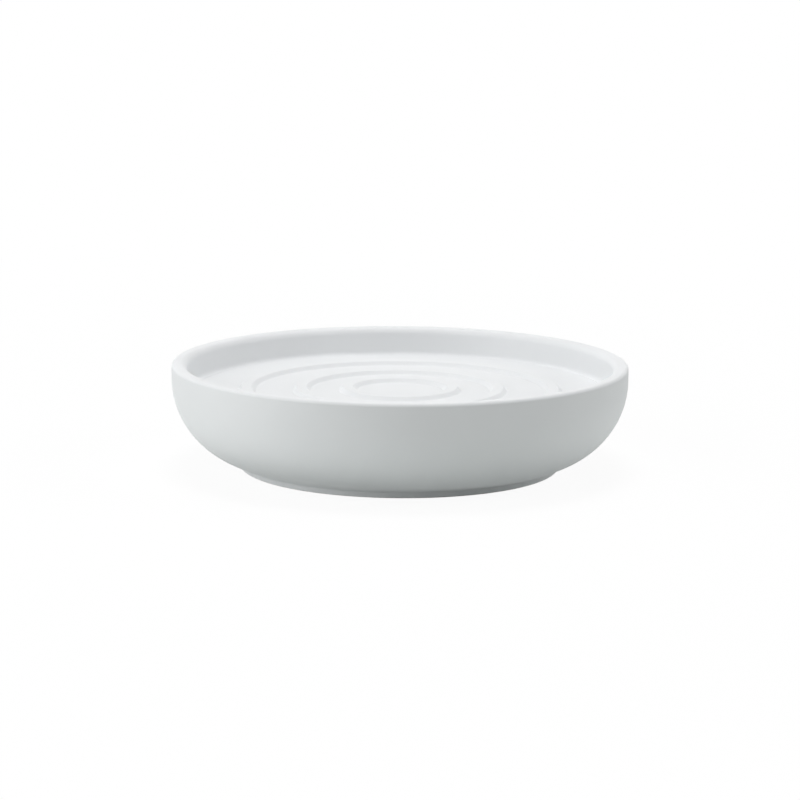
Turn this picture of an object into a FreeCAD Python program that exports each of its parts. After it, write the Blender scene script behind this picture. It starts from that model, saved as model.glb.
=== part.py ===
"""Round stoneware soap dish: a bowl on a foot ring, with a loose ring-ribbed tray that lifts out of it.

Frame: millimetres, +Z up, origin on the table under the middle of the dish.
Every piece is turned about the Z axis, so sections are drawn as (radius, height).
"""

import FreeCAD, Part
import math
import os

# Bowl
OUTER_DIAMETER = 120.0
HEIGHT = 28.0  # table to the top of the rim
WALL = 4.0  # thickness of the upright wall and rim
RIM_BAND = 3.8  # upright stretch below the top of the rim
RIM_OUTER_ROUND = 0.9
RIM_INNER_ROUND = 1.8
BELLY_OVERHANG = 17.6  # how far the belly stands out past the top of the foot
BASE_THICKNESS = 4.0
WELL_CORNER_ROUND = 7.0  # inside corner at the bottom of the drip well
GALLERY_EDGE_ROUND = 0.8
SEAT_LEDGE = 1.3  # step in the wall at the tray's level, which the cove runs out on
SEAT_EDGE_ROUND = 0.1
COVE_ROUND = 1.0  # hollow round between the wall and the ledge

# Foot ring under the bowl
FOOT_HEIGHT = 1.9
FOOT_FLARE = 0.5  # the foot widens by this much from its sole to the belly
FOOT_WIDTH = 5.0
FOOT_RECESS = 1.4  # hollow inside the foot ring
FOOT_SOLE_ROUND = 0.5
FOOT_CREASE_ROUND = 1.2

# Ribbed tray
SOAP_DEPTH = 7.5  # top of the rim down to the tray's flat
TRAY_THICKNESS = 4.0
TRAY_GAP = 0.15  # fine running gap all round, which lets water past
TRAY_TOP_ROUND = 0.1
TRAY_UNDER_ROUND = 0.8
RING_FIRST_RADIUS = 13.7
RING_PITCH = 12.2  # from the first ring to the second
RING_PITCH_GROWTH = 2.3  # every further pitch is this much wider than the one before it
RING_TOP_WIDTH = 2.8
RING_SLOPE_RUN = 0.9
RING_HEIGHT = 1.1
RING_ROUND = 0.6
RING_BORDER = 8.0  # flat left free at the tray's edge

# Silicone dots: bumpers under the tray and pads under the bowl
BUMPER_COUNT = 4
BUMPER_DIAMETER = 5.0
BUMPER_HEIGHT = 1.0
BUMPER_MARGIN = 0.3
PAD_COUNT = 4
PAD_DIAMETER = 8.0
PAD_PROUD = 0.4  # the pads carry the foot ring this far off the table
PAD_INSET = 1.0  # free space between a pad and the foot ring
DOT_EDGE_ROUND = 0.35

# Where a wall is rounded at both ends, each round takes at most this share of it
ROUND_SHARE = 0.45

# Radii
outer_radius = OUTER_DIAMETER / 2
inner_radius = outer_radius - WALL
foot_top_radius = outer_radius - BELLY_OVERHANG
foot_sole_radius = foot_top_radius - FOOT_FLARE
foot_inner_radius = foot_sole_radius - FOOT_WIDTH
seat_radius = inner_radius - SEAT_LEDGE
tray_radius = seat_radius - TRAY_GAP
bumper_circle_radius = tray_radius - TRAY_UNDER_ROUND - BUMPER_MARGIN - BUMPER_DIAMETER / 2
bumper_inner_radius = bumper_circle_radius - BUMPER_DIAMETER / 2
gallery_radius = bumper_inner_radius - BUMPER_MARGIN - GALLERY_EDGE_ROUND
pad_circle_radius = foot_inner_radius - PAD_INSET - PAD_DIAMETER / 2

# Heights
sole_z = PAD_PROUD
recess_z = sole_z + FOOT_RECESS
well_z = recess_z + BASE_THICKNESS
crease_z = sole_z + FOOT_HEIGHT
shoulder_z = HEIGHT - RIM_BAND
tray_top_z = HEIGHT - SOAP_DEPTH
tray_under_z = tray_top_z - TRAY_THICKNESS
gallery_z = tray_under_z - BUMPER_HEIGHT


def point(radius, height):
    return FreeCAD.Vector(radius, 0, height)


def line(start, end):
    return Part.LineSegment(point(*start), point(*end)).toShape()


def polyline(corners):
    """Straight edges through the corners, in order."""
    return [line(a, b) for a, b in zip(corners, corners[1:])]


def arc(start, middle, end):
    return Part.Arc(point(*start), point(*middle), point(*end)).toShape()


def turned(edges):
    """The solid that a closed section sweeps in a full turn about Z."""
    section = Part.Face(Part.Wire(edges))
    return section.revolve(FreeCAD.Vector(0, 0, 0), FreeCAD.Vector(0, 0, 1), 360)


def rounded(solid, radius, corners):
    """Rounds the circular edges that pass through the given (radius, height) corners."""
    tolerance = 1e-6
    edges = []
    for edge in solid.Edges:
        if not isinstance(edge.Curve, Part.Circle):
            continue
        for corner_radius, corner_height in corners:
            at_radius = abs(edge.Curve.Radius - corner_radius) < tolerance
            at_height = abs(edge.Curve.Center.z - corner_height) < tolerance
            if at_radius and at_height:
                edges.append(edge)
    return solid.makeFillet(radius, edges)


def belly_arc():
    """The round belly, from the top of the foot to the upright wall, which it meets without a corner."""
    rise = shoulder_z - crease_z
    belly_radius = (BELLY_OVERHANG ** 2 + rise ** 2) / (2 * BELLY_OVERHANG)
    centre_radius = outer_radius - belly_radius
    start_angle = math.atan2(crease_z - shoulder_z, foot_top_radius - centre_radius)
    middle_angle = start_angle / 2
    middle = (
        centre_radius + belly_radius * math.cos(middle_angle),
        shoulder_z + belly_radius * math.sin(middle_angle),
    )
    return arc((foot_top_radius, crease_z), middle, (outer_radius, shoulder_z))


def dish_bowl():
    """Bowl with its foot ring below, and inside it a coved seat and a gallery that carries the tray over a well."""
    underside = polyline([
        (0, well_z),
        (0, recess_z),
        (foot_inner_radius, recess_z),
        (foot_inner_radius, sole_z),
        (foot_sole_radius, sole_z),
        (foot_top_radius, crease_z),
    ])
    inside = polyline([
        (outer_radius, shoulder_z),
        (outer_radius, HEIGHT),
        (inner_radius, HEIGHT),
        (inner_radius, tray_top_z),
        (seat_radius, tray_top_z),
        (seat_radius, gallery_z),
        (gallery_radius, gallery_z),
        (gallery_radius, well_z),
        (0, well_z),
    ])
    bowl = turned(underside + [belly_arc()] + inside)

    bore_depth = gallery_z - well_z
    gallery_edge = min(GALLERY_EDGE_ROUND, ROUND_SHARE * bore_depth)
    well_corner = min(WELL_CORNER_ROUND, 2 * ROUND_SHARE * bore_depth - gallery_edge)
    rim_limit = ROUND_SHARE * min(WALL, SOAP_DEPTH)
    seat_edge = min(SEAT_EDGE_ROUND, ROUND_SHARE * SEAT_LEDGE)
    cove = min(COVE_ROUND, 2 * ROUND_SHARE * SEAT_LEDGE - seat_edge, ROUND_SHARE * SOAP_DEPTH)
    sole = min(FOOT_SOLE_ROUND, ROUND_SHARE * min(FOOT_HEIGHT, FOOT_RECESS, FOOT_WIDTH))
    crease = min(FOOT_CREASE_ROUND, 2 * ROUND_SHARE * FOOT_HEIGHT - sole)
    soles = [(foot_sole_radius, sole_z), (foot_inner_radius, sole_z)]
    bowl = rounded(bowl, well_corner, [(gallery_radius, well_z)])
    bowl = rounded(bowl, gallery_edge, [(gallery_radius, gallery_z)])
    bowl = rounded(bowl, cove, [(inner_radius, tray_top_z)])
    bowl = rounded(bowl, seat_edge, [(seat_radius, tray_top_z)])
    bowl = rounded(bowl, min(RIM_OUTER_ROUND, rim_limit), [(outer_radius, HEIGHT)])
    bowl = rounded(bowl, min(RIM_INNER_ROUND, rim_limit), [(inner_radius, HEIGHT)])
    bowl = rounded(bowl, crease, [(foot_top_radius, crease_z)])
    return rounded(bowl, sole, soles)


def ring_radii():
    """Middle radii of the rings: as many as fit inside the tray's free border."""
    limit = tray_radius - RING_BORDER - RING_TOP_WIDTH / 2 - RING_SLOPE_RUN
    radii = []
    radius = RING_FIRST_RADIUS
    pitch = RING_PITCH
    while radius <= limit:
        radii.append(radius)
        radius += pitch
        pitch += RING_PITCH_GROWTH
    return radii


def ring_tray():
    """Flat round tray with raised concentric rings that hold the soap clear of the water."""
    crest_z = tray_top_z + RING_HEIGHT
    half_top = RING_TOP_WIDTH / 2
    half_base = half_top + RING_SLOPE_RUN
    crests = []
    roots = []
    top = [(0, tray_top_z)]
    for radius in ring_radii():
        ring_roots = [(radius - half_base, tray_top_z), (radius + half_base, tray_top_z)]
        ring_crests = [(radius - half_top, crest_z), (radius + half_top, crest_z)]
        top += [ring_roots[0], *ring_crests, ring_roots[1]]
        roots += ring_roots
        crests += ring_crests
    edge = [(tray_radius, tray_top_z), (tray_radius, tray_under_z), (0, tray_under_z)]
    tray = turned(polyline(top + edge + [top[0]]))

    slope_length = math.hypot(RING_SLOPE_RUN, RING_HEIGHT)
    ring_round = min(RING_ROUND, ROUND_SHARE * RING_TOP_WIDTH, ROUND_SHARE * slope_length)
    edge_limit = ROUND_SHARE * TRAY_THICKNESS
    tray = rounded(tray, ring_round, crests + roots)
    tray = rounded(tray, min(TRAY_TOP_ROUND, edge_limit), [(tray_radius, tray_top_z)])
    return rounded(tray, min(TRAY_UNDER_ROUND, edge_limit), [(tray_radius, tray_under_z)])


def silicone_dot(diameter, height):
    """Stick-on dot, flat on top where it is bonded, with a soft lower edge."""
    radius = diameter / 2
    dot = turned(polyline([(0, 0), (radius, 0), (radius, height), (0, height), (0, 0)]))
    return rounded(dot, min(DOT_EDGE_ROUND, ROUND_SHARE * height), [(radius, 0)])


def dots_on_circle(name, count, circle_radius, bottom_z, diameter, height):
    """Dots spread evenly round the axis, the first one half a step from +X."""
    step = 360 / count
    dots = {}
    for i in range(count):
        dot = silicone_dot(diameter, height)
        dot.translate(FreeCAD.Vector(circle_radius, 0, bottom_z))
        dot.rotate(FreeCAD.Vector(0, 0, 0), FreeCAD.Vector(0, 0, 1), (i + 0.5) * step)
        dots[f"{name}_{i + 1}"] = dot
    return dots


def main():
    pieces = {"dish_bowl": dish_bowl(), "ring_tray": ring_tray()}
    pieces.update(dots_on_circle(
        "tray_bumper", BUMPER_COUNT, bumper_circle_radius, gallery_z, BUMPER_DIAMETER, BUMPER_HEIGHT,
    ))
    pieces.update(dots_on_circle(
        "foot_pad", PAD_COUNT, pad_circle_radius, 0, PAD_DIAMETER, recess_z,
    ))
    os.makedirs("parts", exist_ok=True)
    for name, shape in pieces.items():
        shape.exportStep(f"parts/{name}.step")
        print(f"{name}: {len(shape.Solids)} solid, {shape.Volume:.1f} mm3, valid {shape.isValid()}")


main()
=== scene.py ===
import math

import bmesh
import bpy
from mathutils import Matrix, Vector


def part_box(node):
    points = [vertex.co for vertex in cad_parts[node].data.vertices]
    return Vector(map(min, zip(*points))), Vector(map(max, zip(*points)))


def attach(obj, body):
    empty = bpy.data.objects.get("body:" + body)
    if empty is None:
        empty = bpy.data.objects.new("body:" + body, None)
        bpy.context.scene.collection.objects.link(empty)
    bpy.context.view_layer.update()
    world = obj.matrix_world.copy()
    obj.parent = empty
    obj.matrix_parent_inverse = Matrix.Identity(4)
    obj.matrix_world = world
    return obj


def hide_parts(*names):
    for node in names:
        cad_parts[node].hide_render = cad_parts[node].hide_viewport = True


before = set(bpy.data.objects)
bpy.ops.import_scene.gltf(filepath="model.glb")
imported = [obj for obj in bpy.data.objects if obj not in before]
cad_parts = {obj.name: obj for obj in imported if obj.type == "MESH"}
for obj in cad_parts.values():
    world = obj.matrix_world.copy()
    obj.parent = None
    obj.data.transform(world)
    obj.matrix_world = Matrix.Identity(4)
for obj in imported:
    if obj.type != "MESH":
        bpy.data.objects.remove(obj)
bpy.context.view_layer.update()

mm = 0.001
print("frame loaded with", len(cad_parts), "nodes")


# profile drawing: a wire of (radius, height) corners in millimetres, in the XZ plane

def drawWire(bm, corners):
    verts = [bm.verts.new((radius, 0, height)) for radius, height in corners]
    for a, b in zip(verts, verts[1:]):
        bm.edges.new((a, b))
    return verts


def roundCorner(bm, vert, radius, segments):
    ends = [edge.other_vert(vert).co - vert.co for edge in vert.link_edges]
    reach = radius / math.tan(ends[0].angle(ends[1]) / 2)  # how far the round runs along each side
    bmesh.ops.bevel(bm, geom=[vert], affect="VERTICES", offset=reach, segments=segments,
                    profile=0.5, material=-1)


def spinVert(bm, vert, centre, angle, steps):
    spun = bmesh.ops.spin(bm, geom=[vert], cent=(centre.x, 0, centre.y), axis=(0, -1, 0),
                          angle=angle, steps=steps)
    return next(item for item in spun["geom_last"] if isinstance(item, bmesh.types.BMVert))


def turnWire(bm, steps):
    bmesh.ops.spin(bm, geom=bm.verts[:] + bm.edges[:], axis=(0, 0, 1), cent=(0, 0, 0),
                   angle=math.tau, steps=steps, use_merge=True)


def finishPiece(name, bm, material, body, nodes):
    bmesh.ops.scale(bm, vec=(mm, mm, mm), verts=bm.verts)
    bmesh.ops.remove_doubles(bm, verts=bm.verts, dist=0.0005 * mm)
    bmesh.ops.recalc_face_normals(bm, faces=bm.faces)
    for face in bm.faces:
        face.smooth = True
    mesh = bpy.data.meshes.new(name)
    bm.to_mesh(mesh)
    bm.free()
    mesh.materials.append(material)
    piece = bpy.data.objects.new(name, mesh)
    bpy.context.scene.collection.objects.link(piece)
    piece.modifiers.new("even normals", "WEIGHTED_NORMAL")  # keeps the flats flat beside their rounds
    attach(piece, body)
    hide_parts(*nodes)
    return piece


# material helpers

def newMaterial(name):
    material = bpy.data.materials.new(name)
    material.use_nodes = True
    tree = material.node_tree
    return material, tree, tree.nodes["Principled BSDF"]


def addNode(tree, kind, **values):
    node = tree.nodes.new(kind)
    for socket, value in values.items():
        node.inputs[socket].default_value = value
    return node


def noise(tree, coords, grain, detail=2.0):
    node = addNode(tree, "ShaderNodeTexNoise", Scale=1 / (grain * mm), Detail=detail)
    tree.links.new(coords, node.inputs["Vector"])
    return node.outputs[0]


def mapRange(tree, value, fromLow, fromHigh, toLow, toHigh):
    node = tree.nodes.new("ShaderNodeMapRange")
    limits = {"From Min": fromLow, "From Max": fromHigh, "To Min": toLow, "To Max": toHigh}
    for socket, number in limits.items():
        node.inputs[socket].default_value = number
    tree.links.new(value, node.inputs["Value"])
    return node.outputs[0]


def mixColour(tree, amount, first, second):
    node = tree.nodes.new("ShaderNodeMix")
    node.data_type = "RGBA"
    tree.links.new(amount, node.inputs[0])
    for socket, colour in ((node.inputs[6], first), (node.inputs[7], second)):
        if isinstance(colour, tuple):
            socket.default_value = (*colour, 1)
        else:
            tree.links.new(colour, socket)
    return node.outputs[2]


def bump(tree, height, depth, normal=None):
    node = addNode(tree, "ShaderNodeBump", Strength=1.0, Distance=depth * mm)
    tree.links.new(height, node.inputs["Height"])
    if normal:
        tree.links.new(normal, node.inputs["Normal"])
    return node.outputs[0]


# soft-touch coat on stoneware
coat = {
    "light": (0.864, 0.877, 0.887),
    "shade": (0.846, 0.860, 0.870),
    "speck": (0.55, 0.53, 0.50),
    "rawClay": (0.66, 0.62, 0.56),
    "roughness": (0.56, 0.66),
    "roughSize": 6.0,  # mm, patches that are a little smoother or rougher
    "roughSpread": (0.3, 0.7),
    "specular": 0.35,
    "cloudSize": 28.0,  # mm, slow drift of tone
    "cloudSpread": (0.35, 0.65),
    "dimpleSize": 2.6,  # mm, waviness left by the spray
    "dimpleDepth": 0.006,
    "grainSize": 0.16,  # mm, the velvety tooth of the coat
    "grainDepth": 0.006,
    "grainDetail": 3.0,
    "speckSpacing": 9.0,
    "speckSize": 0.12,
    "speckCells": (0.62, 0.64),  # cells of the scatter above this value hold a speck
    "speckStrength": 0.6,
    "bareHeight": 0.2,  # mm of the foot above its sole that the coat thins out on
}


def coatMaterial(name, soleTop=None):
    material, tree, shader = newMaterial(name)
    coords = tree.nodes.new("ShaderNodeTexCoord").outputs["Object"]

    tone = mapRange(tree, noise(tree, coords, coat["cloudSize"]), *coat["cloudSpread"], 0, 1)
    colour = mixColour(tree, tone, coat["shade"], coat["light"])

    # a few iron specks: only some cells of a coarse scatter hold one
    scatter = addNode(tree, "ShaderNodeTexVoronoi", Scale=1 / (coat["speckSpacing"] * mm))
    tree.links.new(coords, scatter.inputs["Vector"])
    chosen = mapRange(tree, scatter.outputs["Color"], *coat["speckCells"], 0, coat["speckStrength"])
    speckRadius = coat["speckSize"] / coat["speckSpacing"]
    spot = mapRange(tree, scatter.outputs["Distance"], 0.6 * speckRadius, 1.4 * speckRadius, 1, 0)
    both = tree.nodes.new("ShaderNodeMath")
    both.operation = "MULTIPLY"
    tree.links.new(chosen, both.inputs[0])
    tree.links.new(spot, both.inputs[1])
    colour = mixColour(tree, both.outputs[0], colour, coat["speck"])

    if soleTop:  # the ground sole of the foot is bare clay
        split = tree.nodes.new("ShaderNodeSeparateXYZ")
        tree.links.new(coords, split.inputs[0])
        bare = mapRange(tree, split.outputs["Z"], soleTop, soleTop + coat["bareHeight"] * mm, 1, 0)
        colour = mixColour(tree, bare, colour, coat["rawClay"])
    tree.links.new(colour, shader.inputs["Base Color"])

    patches = mapRange(tree, noise(tree, coords, coat["roughSize"]), *coat["roughSpread"], *coat["roughness"])
    tree.links.new(patches, shader.inputs["Roughness"])
    waves = bump(tree, noise(tree, coords, coat["dimpleSize"]), coat["dimpleDepth"])
    grain = noise(tree, coords, coat["grainSize"], coat["grainDetail"])
    tree.links.new(bump(tree, grain, coat["grainDepth"], waves), shader.inputs["Normal"])
    shader.inputs["Specular IOR Level"].default_value = coat["specular"]
    return material


# translucent silicone
silicone = {
    "clear": (0.80, 0.82, 0.82),
    "dusty": (0.70, 0.715, 0.71),
    "dustSize": 1.8,  # mm
    "dustSpread": (0.4, 0.65),
    "dustDetail": 4.0,
    "roughness": (0.32, 0.5),
    "skinSize": 0.3,
    "skinDepth": 0.008,
    "ior": 1.41,
    "transmission": 0.25,
}


def siliconeMaterial(name):
    material, tree, shader = newMaterial(name)
    coords = tree.nodes.new("ShaderNodeTexCoord").outputs["Object"]
    clouds = noise(tree, coords, silicone["dustSize"], silicone["dustDetail"])
    dust = mapRange(tree, clouds, *silicone["dustSpread"], 0, 1)
    tree.links.new(mixColour(tree, dust, silicone["clear"], silicone["dusty"]), shader.inputs["Base Color"])
    tree.links.new(mapRange(tree, dust, 0, 1, *silicone["roughness"]), shader.inputs["Roughness"])
    skin = bump(tree, noise(tree, coords, silicone["skinSize"]), silicone["skinDepth"])
    tree.links.new(skin, shader.inputs["Normal"])
    shader.inputs["IOR"].default_value = silicone["ior"]
    shader.inputs["Transmission Weight"].default_value = silicone["transmission"]
    return material


# sizes that the frame gives, in millimetres
bowlLow, bowlHigh = (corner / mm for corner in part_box("dish_bowl"))
trayLow, trayHigh = (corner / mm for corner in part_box("ring_tray"))
bumperLow, bumperHigh = (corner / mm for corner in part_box("tray_bumper_1"))
bumperMiddle = (bumperLow + bumperHigh) / 2
bumperInner = math.hypot(bumperMiddle.x, bumperMiddle.y) - (bumperHigh.x - bumperLow.x) / 2

bowl = {
    "wall": 4.0,
    "rimBand": 3.8,
    "rimOuterRound": 0.9,
    "rimInnerRound": 1.8,
    "bellyOverhang": 17.6,
    "footHeight": 1.9,
    "footFlare": 0.5,
    "footWidth": 5.0,
    "footRecess": 1.4,
    "footRound": 0.5,
    "creaseRound": 1.2,
    "creaseSteps": 10,
    "recessRound": 0.7,
    "base": 4.0,
    "ledge": 1.3,  # step in the wall at the tray's level
    "ledgeRound": 0.1,
    "coveRound": 1.0,
    "seatRound": 0.3,
    "bumperMargin": 0.3,  # flat of the gallery left free inside the bumpers
    "galleryRound": 0.8,
    "wellRound": 7.0,
    "bellySteps": 44,
    "turnSteps": 288,
}


def makeBowl():
    outer = bowlHigh.x
    top = bowlHigh.z
    sole = bowlLow.z
    inner = outer - bowl["wall"]
    footTop = outer - bowl["bellyOverhang"]
    footSole = footTop - bowl["footFlare"]
    footInner = footSole - bowl["footWidth"]
    recess = sole + bowl["footRecess"]
    crease = sole + bowl["footHeight"]
    shoulder = top - bowl["rimBand"]
    well = recess + bowl["base"]
    trayTop = trayLow.z + tray["thickness"]
    seat = inner - bowl["ledge"]
    gallery = bumperLow.z
    bore = bumperInner - bowl["bumperMargin"] - bowl["galleryRound"]

    # the belly is one arc that meets the upright wall without a corner
    rise = shoulder - crease
    bellyRadius = (bowl["bellyOverhang"] ** 2 + rise ** 2) / (2 * bowl["bellyOverhang"])
    bellyCentre = Vector((outer - bellyRadius, shoulder))

    # the hollow round under it touches the foot's wall and the belly's arc
    hollow = bowl["creaseRound"]
    footWall = Vector((footTop - footSole, crease - sole)).normalized()
    outward = Vector((footWall.y, -footWall.x))
    start = Vector((footSole, sole))
    offset = start + outward * hollow - bellyCentre
    along = offset.dot(footWall)
    climb = -along - math.sqrt(along ** 2 - offset.length_squared + (bellyRadius + hollow) ** 2)
    hollowStart = start + footWall * climb
    hollowCentre = hollowStart + outward * hollow
    toBelly = (hollowCentre - bellyCentre).normalized()
    hollowAngle = (-outward).angle(-toBelly)
    bellyAngle = toBelly.angle(Vector((1, 0)))

    bm = bmesh.new()
    under = drawWire(bm, [(0, recess), (footInner, recess), (footInner, sole), (footSole, sole),
                          tuple(hollowStart)])
    crown = spinVert(bm, under[-1], hollowCentre, -hollowAngle, bowl["creaseSteps"])
    spinVert(bm, crown, bellyCentre, bellyAngle, bowl["bellySteps"])
    drawWire(bm, [(outer, shoulder), (outer, top), (inner, top), (inner, trayTop), (seat, trayTop),
                  (seat, gallery), (bore, gallery), (bore, well), (0, well)])
    bmesh.ops.remove_doubles(bm, verts=bm.verts, dist=0.001)

    def cornerAt(radius, height):
        return min(bm.verts, key=lambda vert: (vert.co - Vector((radius, 0, height))).length)

    rounds = [
        ((footInner, recess), bowl["recessRound"], 5),
        ((footInner, sole), bowl["footRound"], 5),
        ((footSole, sole), bowl["footRound"], 6),
        ((outer, top), bowl["rimOuterRound"], 12),
        ((inner, top), bowl["rimInnerRound"], 12),
        ((inner, trayTop), bowl["coveRound"], 10),
        ((seat, trayTop), bowl["ledgeRound"], 4),
        ((seat, gallery), bowl["seatRound"], 3),
        ((bore, gallery), bowl["galleryRound"], 6),
        ((bore, well), bowl["wellRound"], 16),
    ]
    for corner, radius, segments in rounds:
        roundCorner(bm, cornerAt(*corner), radius, segments)
    turnWire(bm, bowl["turnSteps"])
    return finishPiece("bowl_shell", bm, coatMaterial("soft touch bowl", bowlLow.z * mm), "bowl",
                       ["dish_bowl"])


tray = {
    "thickness": 4.0,
    "topRound": 0.1,
    "underRound": 0.8,
    "rings": (13.7, 25.9, 40.4),  # middle radii
    "ringTop": 2.8,
    "ringSlope": 0.9,
    "ringRound": 0.6,
    "turnSteps": 288,
}


def makeTray():
    edge = trayHigh.x
    under = trayLow.z
    crest = trayHigh.z
    flat = under + tray["thickness"]
    halfTop = tray["ringTop"] / 2
    halfBase = halfTop + tray["ringSlope"]

    bm = bmesh.new()
    outline = [(0, under), (edge, under), (edge, flat)]
    for middle in reversed(tray["rings"]):
        outline += [(middle + halfBase, flat), (middle + halfTop, crest),
                    (middle - halfTop, crest), (middle - halfBase, flat)]
    outline.append((0, flat))
    verts = drawWire(bm, outline)
    roundCorner(bm, verts[1], tray["underRound"], 6)
    roundCorner(bm, verts[2], tray["topRound"], 5)
    for vert in verts[3:-1]:
        roundCorner(bm, vert, tray["ringRound"], 6)
    turnWire(bm, tray["turnSteps"])
    return finishPiece("ribbed_tray", bm, coatMaterial("soft touch tray"), "tray",
                       ["ring_tray"])


dots = {
    "count": 4,  # under the tray, and as many under the bowl
    "edgeRound": 0.35,
    "topChamfer": 0.08,
    "turnSteps": 48,
}


def makeDot(node, name, body, material):
    low, high = (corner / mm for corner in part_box(node))
    middle = (low + high) / 2
    radius = (high.x - low.x) / 2
    bm = bmesh.new()
    verts = drawWire(bm, [(0, low.z), (radius, low.z), (radius, high.z), (0, high.z)])
    roundCorner(bm, verts[1], dots["edgeRound"], 6)
    roundCorner(bm, verts[2], dots["topChamfer"], 2)
    turnWire(bm, dots["turnSteps"])
    bmesh.ops.translate(bm, vec=(middle.x, middle.y, 0), verts=bm.verts)
    return finishPiece(name, bm, material, body, [node])


makeBowl()
print("bowl turned")
makeTray()
print("tray turned")
dotMaterial = siliconeMaterial("clear silicone")
for i in range(1, dots["count"] + 1):
    makeDot(f"tray_bumper_{i}", f"bumper_dot_{i}", "tray", dotMaterial)
    makeDot(f"foot_pad_{i}", f"pad_dot_{i}", "bowl", dotMaterial)
print("silicone dots placed")


# camera
shot = {
    "aimHeight": 14.0 * mm,
    "distance": 0.9,
    "elevation": 10.76,
    "focalPixels": 3412.0,
    "frameWidth": 800,
    "sensorWidth": 36.0,
    "aimPixel": (399.8, 414.6),  # where the aim point falls in the frame
    "roll": 0.45,
}


def makeCamera():
    data = bpy.data.cameras.new("photo camera")
    camera = bpy.data.objects.new("photo camera", data)
    bpy.context.scene.collection.objects.link(camera)
    data.sensor_width = shot["sensorWidth"]
    data.lens = shot["focalPixels"] / shot["frameWidth"] * shot["sensorWidth"]
    elevation = math.radians(shot["elevation"])
    back = Vector((0, -math.cos(elevation), math.sin(elevation)))
    camera.location = Vector((0, 0, shot["aimHeight"])) + back * shot["distance"]

    # turn the camera a little so that the aim point falls on its pixel
    middle = shot["frameWidth"] / 2
    yaw = math.atan((shot["aimPixel"][0] - middle) / shot["focalPixels"])
    tilt = math.atan((shot["aimPixel"][1] - middle) / shot["focalPixels"])
    turn = (Matrix.Rotation(math.pi / 2 - elevation + tilt, 4, "X") @ Matrix.Rotation(yaw, 4, "Y")
            @ Matrix.Rotation(math.radians(shot["roll"]), 4, "Z"))
    camera.rotation_euler = turn.to_euler()
    bpy.context.scene.camera = camera


# studio: broad soft lamps round the dish, and a pale room
studio = {
    "lamps": {
        "overhead": {"place": (0.0, 0.0, 1.2), "size": (0.4, 0.4), "power": 6.35},
        "back": {"place": (0.0, 0.739, 0.946), "size": (0.8, 0.8), "power": 2.9},
        "left": {"place": (-1.088, 0.0, 0.507), "size": (0.8, 0.7), "power": 2.7},
        "leftFront": {"place": (-0.769, -0.769, 0.507), "size": (0.8, 0.7), "power": 5.1},
        "leftStrip": {"place": (-1.199, 0.0, 0.046), "size": (0.8, 0.085), "power": 1.5},
        "right": {"place": (1.088, 0.0, 0.507), "size": (0.8, 0.7), "power": 4.9},
    },
    "room": 0.0,  # the room itself adds no light
    "floorSize": 8.0,
    "paper": (0.97, 0.97, 0.97),
    "floorShade": 0.07,  # share of the floor's white that can take a shadow
    "shadeReach": (0.07, 0.4),  # metres from the dish over which that share fades out
    "paperGlow": 0.1,  # lifts the lit paper to white
    "floorBounce": (0.685, 0.714, 0.698),  # what the floor throws back on the dish
}


def makeLamp(name, lamp):
    data = bpy.data.lights.new(name, "AREA")
    data.shape = "RECTANGLE"
    data.size, data.size_y = lamp["size"]
    data.energy = lamp["power"]
    light = bpy.data.objects.new(name, data)
    light.location = lamp["place"]
    light.rotation_euler = (-Vector(lamp["place"])).to_track_quat("-Z", "Y").to_euler()
    bpy.context.scene.collection.objects.link(light)


def seenRays(tree):
    path = tree.nodes.new("ShaderNodeLightPath")
    total = path.outputs["Is Camera Ray"]
    for other in ("Is Glossy Ray", "Is Transmission Ray"):
        most = tree.nodes.new("ShaderNodeMath")
        most.operation = "MAXIMUM"
        tree.links.new(total, most.inputs[0])
        tree.links.new(path.outputs[other], most.inputs[1])
        total = most.outputs[0]
    return total


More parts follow.
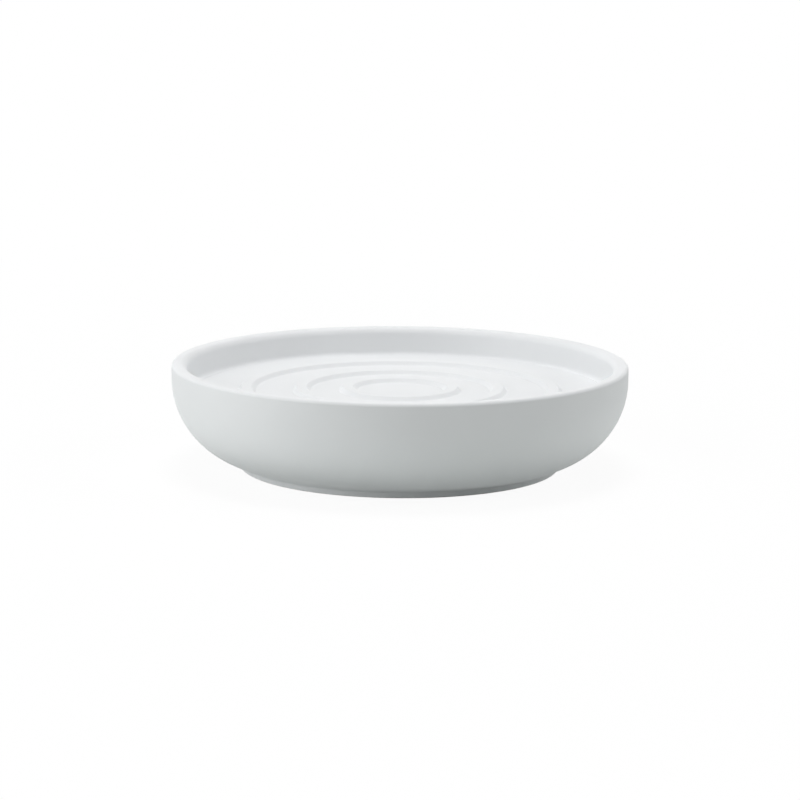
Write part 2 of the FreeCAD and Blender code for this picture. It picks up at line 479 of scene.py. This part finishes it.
def makeFloor():
    bm = bmesh.new()
    bmesh.ops.create_grid(bm, x_segments=1, y_segments=1, size=studio["floorSize"] / 2)
    mesh = bpy.data.meshes.new("floor")
    bm.to_mesh(mesh)
    bm.free()
    floor = bpy.data.objects.new("floor", mesh)
    bpy.context.scene.collection.objects.link(floor)

    material = bpy.data.materials.new("white paper")
    material.use_nodes = True
    tree = material.node_tree
    tree.nodes.clear()
    glow = addNode(tree, "ShaderNodeEmission", Color=(1, 1, 1, 1), Strength=1.0)
    paper = addNode(tree, "ShaderNodeBsdfDiffuse", Color=(*studio["paper"], 1))
    lift = addNode(tree, "ShaderNodeEmission", Color=(1, 1, 1, 1), Strength=studio["paperGlow"])
    lifted = tree.nodes.new("ShaderNodeAddShader")
    tree.links.new(paper.outputs[0], lifted.inputs[0])
    tree.links.new(lift.outputs[0], lifted.inputs[1])
    dim = addNode(tree, "ShaderNodeBsdfDiffuse", Color=(*studio["floorBounce"], 1))

    # white paper that takes a faint shadow near the dish only
    place = tree.nodes.new("ShaderNodeTexCoord")
    reach = tree.nodes.new("ShaderNodeVectorMath")
    reach.operation = "LENGTH"
    tree.links.new(place.outputs["Object"], reach.inputs[0])
    shade = mapRange(tree, reach.outputs["Value"], *studio["shadeReach"], studio["floorShade"], 0)
    shade.node.interpolation_type = "SMOOTHSTEP"
    seen = tree.nodes.new("ShaderNodeMixShader")
    tree.links.new(shade, seen.inputs["Fac"])
    tree.links.new(glow.outputs[0], seen.inputs[1])
    tree.links.new(lifted.outputs[0], seen.inputs[2])

    either = tree.nodes.new("ShaderNodeMixShader")
    output = tree.nodes.new("ShaderNodeOutputMaterial")
    tree.links.new(seenRays(tree), either.inputs[0])
    tree.links.new(dim.outputs[0], either.inputs[1])
    tree.links.new(seen.outputs[0], either.inputs[2])
    tree.links.new(either.outputs[0], output.inputs["Surface"])
    mesh.materials.append(material)


def makeRoom():
    world = bpy.data.worlds.new("pale room")
    world.use_nodes = True
    tree = world.node_tree
    tree.nodes.clear()
    room = addNode(tree, "ShaderNodeBackground", Color=(1, 1, 1, 1), Strength=studio["room"])
    white = addNode(tree, "ShaderNodeBackground", Color=(1, 1, 1, 1), Strength=1.0)
    either = tree.nodes.new("ShaderNodeMixShader")
    output = tree.nodes.new("ShaderNodeOutputWorld")
    tree.links.new(seenRays(tree), either.inputs[0])
    tree.links.new(room.outputs[0], either.inputs[1])
    tree.links.new(white.outputs[0], either.inputs[2])
    tree.links.new(either.outputs[0], output.inputs["Surface"])
    bpy.context.scene.world = world


makeCamera()
for name, lamp in studio["lamps"].items():
    makeLamp(name, lamp)
makeFloor()
makeRoom()
bpy.context.scene.view_settings.view_transform = "Standard"
print("camera and studio set")
